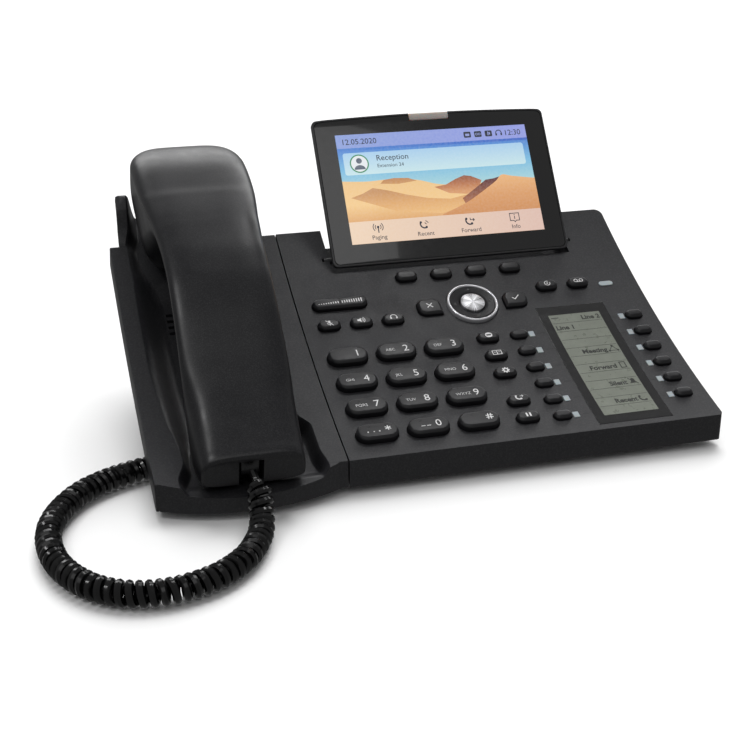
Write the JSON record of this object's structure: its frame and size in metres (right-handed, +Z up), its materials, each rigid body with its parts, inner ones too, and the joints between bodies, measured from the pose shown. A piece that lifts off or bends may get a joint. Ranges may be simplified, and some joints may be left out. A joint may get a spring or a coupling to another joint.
{
  "type": "desk telephone",
  "caption": "Sloping desk telephone with a corded handset in a side cradle, a tilting colour display, a numeric keypad, a navigation ring and a label display with line keys.",
  "frame": {"origin": "on the desk, below the middle of the telephone's outline measured without its handset cord", "axes": "+X to the user's right, +Y away from the user, +Z up"},
  "size_m": [0.2854, 0.2203, 0.1193],
  "materials": {
    "cover_plastic": "fine spark texture, anthracite",
    "lower_plastic": "matt, nearly black",
    "foot_rubber": "matt",
    "circuit_board": "solder mask",
    "speaker_metal": "dull",
    "hook_plastic": "satin",
    "bezel_plastic": "satin, anthracite",
    "display_glass": "clear cover over a lit colour picture",
    "label_glass": "clear cover over a grey-green monochrome display",
    "light_pipe": "translucent, satin",
    "handset_plastic": "very fine texture, nearly black",
    "cord_jacket": "smooth, glossy black",
    "ring_chrome": "polished rim round a black rocker",
    "button_metal": "turned, silver",
    "key_plastic": "satin black with white print"
  },
  "bodies": {
    "base": {"base_top_cover": "cover_plastic", "handset_cradle": "cover_plastic", "base_bottom_cover": "lower_plastic", "foot_stand": "lower_plastic", "rubber_feet": "foot_rubber", "main_board": "circuit_board", "loudspeaker": "speaker_metal", "label_screen": "label_glass", "status_lights": "light_pipe", "handset_cord": "cord_jacket"},
    "handset": {"handset_outer_shell": "handset_plastic", "handset_inner_shell": "handset_plastic"},
    "display": {"display_bezel": "bezel_plastic", "display_screen": "display_glass", "display_back_cover": "lower_plastic", "call_light": "light_pipe"},
    "hook": {"hook_switch": "hook_plastic"},
    "volume": {"volume_rocker": "key_plastic"},
    "nav": {"nav_ring": "ring_chrome"},
    "ok_button_body": {"ok_button": "button_metal"},
    "mute_key_body": {"mute_key": "key_plastic"},
    "speaker_key_body": {"speaker_key": "key_plastic"},
    "headset_key_body": {"headset_key": "key_plastic"},
    "dnd_key_body": {"dnd_key": "key_plastic"},
    "directory_key_body": {"directory_key": "key_plastic"},
    "menu_key_body": {"menu_key": "key_plastic"},
    "transfer_key_body": {"transfer_key": "key_plastic"},
    "hold_key_body": {"hold_key": "key_plastic"},
    "retrieve_key_body": {"retrieve_key": "key_plastic"},
    "message_key_body": {"message_key": "key_plastic"},
    "soft_key_1_body": {"soft_key_1": "key_plastic"},
    "soft_key_2_body": {"soft_key_2": "key_plastic"},
    "soft_key_3_body": {"soft_key_3": "key_plastic"},
    "soft_key_4_body": {"soft_key_4": "key_plastic"},
    "cancel_key_body": {"cancel_key": "key_plastic"},
    "confirm_key_body": {"confirm_key": "key_plastic"},
    "key_1_body": {"key_1": "key_plastic"},
    "key_2_body": {"key_2": "key_plastic"},
    "key_3_body": {"key_3": "key_plastic"},
    "key_4_body": {"key_4": "key_plastic"},
    "key_5_body": {"key_5": "key_plastic"},
    "key_6_body": {"key_6": "key_plastic"},
    "key_7_body": {"key_7": "key_plastic"},
    "key_8_body": {"key_8": "key_plastic"},
    "key_9_body": {"key_9": "key_plastic"},
    "key_star_body": {"key_star": "key_plastic"},
    "key_0_body": {"key_0": "key_plastic"},
    "key_hash_body": {"key_hash": "key_plastic"},
    "line_key_1_body": {"line_key_1": "key_plastic"},
    "line_key_2_body": {"line_key_2": "key_plastic"},
    "line_key_3_body": {"line_key_3": "key_plastic"},
    "line_key_4_body": {"line_key_4": "key_plastic"},
    "line_key_5_body": {"line_key_5": "key_plastic"},
    "line_key_6_body": {"line_key_6": "key_plastic"},
    "line_key_7_body": {"line_key_7": "key_plastic"},
    "line_key_8_body": {"line_key_8": "key_plastic"},
    "line_key_9_body": {"line_key_9": "key_plastic"},
    "line_key_10_body": {"line_key_10": "key_plastic"},
    "line_key_11_body": {"line_key_11": "key_plastic"},
    "line_key_12_body": {"line_key_12": "key_plastic"}
  },
  "joints": [
    {"name": "handset_lift", "type": "slide", "parent": "base", "child": "handset", "axis": [0, -0.2588, 0.9659], "range_m": [0, 0.08]},
    {"name": "display_tilt", "type": "hinge", "parent": "base", "child": "display", "pos_m": [0.0358, 0.04139, 0.06], "axis": [1, 0, 0], "range_deg": [-24, 8]},
    {"name": "hook_travel", "type": "slide", "parent": "base", "child": "hook", "axis": [0, -0.4947, 0.8691], "range_m": [0, 0.0032]},
    {"name": "volume_rock", "type": "hinge", "parent": "base", "child": "volume", "pos_m": [-0.0244, 0.0164, 0.04503], "axis": [0, 0.9016, 0.4327], "range_deg": [-2.5, 2.5], "stiffness_Nm_per_rad": 0.6},
    {"name": "nav_rock", "type": "hinge", "parent": "base", "child": "nav", "pos_m": [0.036, 0.00924, 0.04276], "axis": [1, 0, 0], "range_deg": [-2, 2], "stiffness_Nm_per_rad": 0.6},
    {"name": "ok_button_press", "type": "slide", "parent": "base", "child": "ok_button_body", "axis": [0, 0.4195, -0.9078], "range_m": [0, 0.0012], "stiffness_N_per_m": 500},
    {"name": "mute_key_press", "type": "slide", "parent": "base", "child": "mute_key_body", "axis": [0, 0.4098, -0.9122], "range_m": [0, 0.0012], "stiffness_N_per_m": 500},
    {"name": "speaker_key_press", "type": "slide", "parent": "base", "child": "speaker_key_body", "axis": [0, 0.4098, -0.9122], "range_m": [0, 0.0012], "stiffness_N_per_m": 500},
    {"name": "headset_key_press", "type": "slide", "parent": "base", "child": "headset_key_body", "axis": [0, 0.4098, -0.9122], "range_m": [0, 0.0012], "stiffness_N_per_m": 500},
    {"name": "dnd_key_press", "type": "slide", "parent": "base", "child": "dnd_key_body", "axis": [0, 0.3786, -0.9256], "range_m": [0, 0.0012], "stiffness_N_per_m": 500},
    {"name": "directory_key_press", "type": "slide", "parent": "base", "child": "directory_key_body", "axis": [0, 0.3574, -0.934], "range_m": [0, 0.0012], "stiffness_N_per_m": 500},
    {"name": "menu_key_press", "type": "slide", "parent": "base", "child": "menu_key_body", "axis": [0, 0.336, -0.9419], "range_m": [0, 0.0012], "stiffness_N_per_m": 500},
    {"name": "transfer_key_press", "type": "slide", "parent": "base", "child": "transfer_key_body", "axis": [0, 0.3022, -0.9532], "range_m": [0, 0.0012], "stiffness_N_per_m": 500},
    {"name": "hold_key_press", "type": "slide", "parent": "base", "child": "hold_key_body", "axis": [0, 0.2815, -0.9595], "range_m": [0, 0.0012], "stiffness_N_per_m": 500},
    {"name": "retrieve_key_press", "type": "slide", "parent": "base", "child": "retrieve_key_body", "axis": [0, 0.4316, -0.9021], "range_m": [0, 0.0012], "stiffness_N_per_m": 500},
    {"name": "message_key_press", "type": "slide", "parent": "base", "child": "message_key_body", "axis": [0, 0.4316, -0.9021], "range_m": [0, 0.0012], "stiffness_N_per_m": 500},
    {"name": "soft_key_1_press", "type": "slide", "parent": "base", "child": "soft_key_1_body", "axis": [0, 0.4563, -0.8898], "range_m": [0, 0.0012], "stiffness_N_per_m": 500},
    {"name": "soft_key_2_press", "type": "slide", "parent": "base", "child": "soft_key_2_body", "axis": [0, 0.4563, -0.8898], "range_m": [0, 0.0012], "stiffness_N_per_m": 500},
    {"name": "soft_key_3_press", "type": "slide", "parent": "base", "child": "soft_key_3_body", "axis": [0, 0.4563, -0.8898], "range_m": [0, 0.0012], "stiffness_N_per_m": 500},
    {"name": "soft_key_4_press", "type": "slide", "parent": "base", "child": "soft_key_4_body", "axis": [0, 0.4563, -0.8898], "range_m": [0, 0.0012], "stiffness_N_per_m": 500},
    {"name": "cancel_key_press", "type": "slide", "parent": "base", "child": "cancel_key_body", "axis": [0, 0.4195, -0.9078], "range_m": [0, 0.0012], "stiffness_N_per_m": 500},
    {"name": "confirm_key_press", "type": "slide", "parent": "base", "child": "confirm_key_body", "axis": [0, 0.4195, -0.9078], "range_m": [0, 0.0012], "stiffness_N_per_m": 500},
    {"name": "key_1_press", "type": "slide", "parent": "base", "child": "key_1_body", "axis": [0, 0.3726, -0.928], "range_m": [0, 0.0012], "stiffness_N_per_m": 500},
    {"name": "key_2_press", "type": "slide", "parent": "base", "child": "key_2_body", "axis": [0, 0.3726, -0.928], "range_m": [0, 0.0012], "stiffness_N_per_m": 500},
    {"name": "key_3_press", "type": "slide", "parent": "base", "child": "key_3_body", "axis": [0, 0.3726, -0.928], "range_m": [0, 0.0012], "stiffness_N_per_m": 500},
    {"name": "key_4_press", "type": "slide", "parent": "base", "child": "key_4_body", "axis": [0, 0.3432, -0.9393], "range_m": [0, 0.0012], "stiffness_N_per_m": 500},
    {"name": "key_5_press", "type": "slide", "parent": "base", "child": "key_5_body", "axis": [0, 0.3432, -0.9393], "range_m": [0, 0.0012], "stiffness_N_per_m": 500},
    {"name": "key_6_press", "type": "slide", "parent": "base", "child": "key_6_body", "axis": [0, 0.3432, -0.9393], "range_m": [0, 0.0012], "stiffness_N_per_m": 500},
    {"name": "key_7_press", "type": "slide", "parent": "base", "child": "key_7_body", "axis": [0, 0.3135, -0.9496], "range_m": [0, 0.0012], "stiffness_N_per_m": 500},
    {"name": "key_8_press", "type": "slide", "parent": "base", "child": "key_8_body", "axis": [0, 0.3135, -0.9496], "range_m": [0, 0.0012], "stiffness_N_per_m": 500},
    {"name": "key_9_press", "type": "slide", "parent": "base", "child": "key_9_body", "axis": [0, 0.3135, -0.9496], "range_m": [0, 0.0012], "stiffness_N_per_m": 500},
    {"name": "key_star_press", "type": "slide", "parent": "base", "child": "key_star_body", "axis": [0, 0.2834, -0.959], "range_m": [0, 0.0012], "stiffness_N_per_m": 500},
    {"name": "key_0_press", "type": "slide", "parent": "base", "child": "key_0_body", "axis": [0, 0.2834, -0.959], "range_m": [0, 0.0012], "stiffness_N_per_m": 500},
    {"name": "key_hash_press", "type": "slide", "parent": "base", "child": "key_hash_body", "axis": [0, 0.2834, -0.959], "range_m": [0, 0.0012], "stiffness_N_per_m": 500},
    {"name": "line_key_1_press", "type": "slide", "parent": "base", "child": "line_key_1_body", "axis": [0, 0.3789, -0.9254], "range_m": [0, 0.001], "stiffness_N_per_m": 500},
    {"name": "line_key_2_press", "type": "slide", "parent": "base", "child": "line_key_2_body", "axis": [0, 0.3594, -0.9332], "range_m": [0, 0.001], "stiffness_N_per_m": 500},
    {"name": "line_key_3_press", "type": "slide", "parent": "base", "child": "line_key_3_body", "axis": [0, 0.3397, -0.9405], "range_m": [0, 0.001], "stiffness_N_per_m": 500},
    {"name": "line_key_4_press", "type": "slide", "parent": "base", "child": "line_key_4_body", "axis": [0, 0.3198, -0.9475], "range_m": [0, 0.001], "stiffness_N_per_m": 500},
    {"name": "line_key_5_press", "type": "slide", "parent": "base", "child": "line_key_5_body", "axis": [0, 0.2998, -0.954], "range_m": [0, 0.001], "stiffness_N_per_m": 500},
    {"name": "line_key_6_press", "type": "slide", "parent": "base", "child": "line_key_6_body", "axis": [0, 0.2797, -0.9601], "range_m": [0, 0.001], "stiffness_N_per_m": 500},
    {"name": "line_key_7_press", "type": "slide", "parent": "base", "child": "line_key_7_body", "axis": [0, 0.3889, -0.9213], "range_m": [0, 0.001], "stiffness_N_per_m": 500},
    {"name": "line_key_8_press", "type": "slide", "parent": "base", "child": "line_key_8_body", "axis": [0, 0.3694, -0.9293], "range_m": [0, 0.001], "stiffness_N_per_m": 500},
    {"name": "line_key_9_press", "type": "slide", "parent": "base", "child": "line_key_9_body", "axis": [0, 0.3498, -0.9368], "range_m": [0, 0.001], "stiffness_N_per_m": 500},
    {"name": "line_key_10_press", "type": "slide", "parent": "base", "child": "line_key_10_body", "axis": [0, 0.33, -0.944], "range_m": [0, 0.001], "stiffness_N_per_m": 500},
    {"name": "line_key_11_press", "type": "slide", "parent": "base", "child": "line_key_11_body", "axis": [0, 0.3101, -0.9507], "range_m": [0, 0.001], "stiffness_N_per_m": 500},
    {"name": "line_key_12_press", "type": "slide", "parent": "base", "child": "line_key_12_body", "axis": [0, 0.29, -0.957], "range_m": [0, 0.001], "stiffness_N_per_m": 500}
  ],
  "couplings": [
    {"joint": "hook_travel", "follows": "handset_lift", "ratio": 0.04}
  ]
}
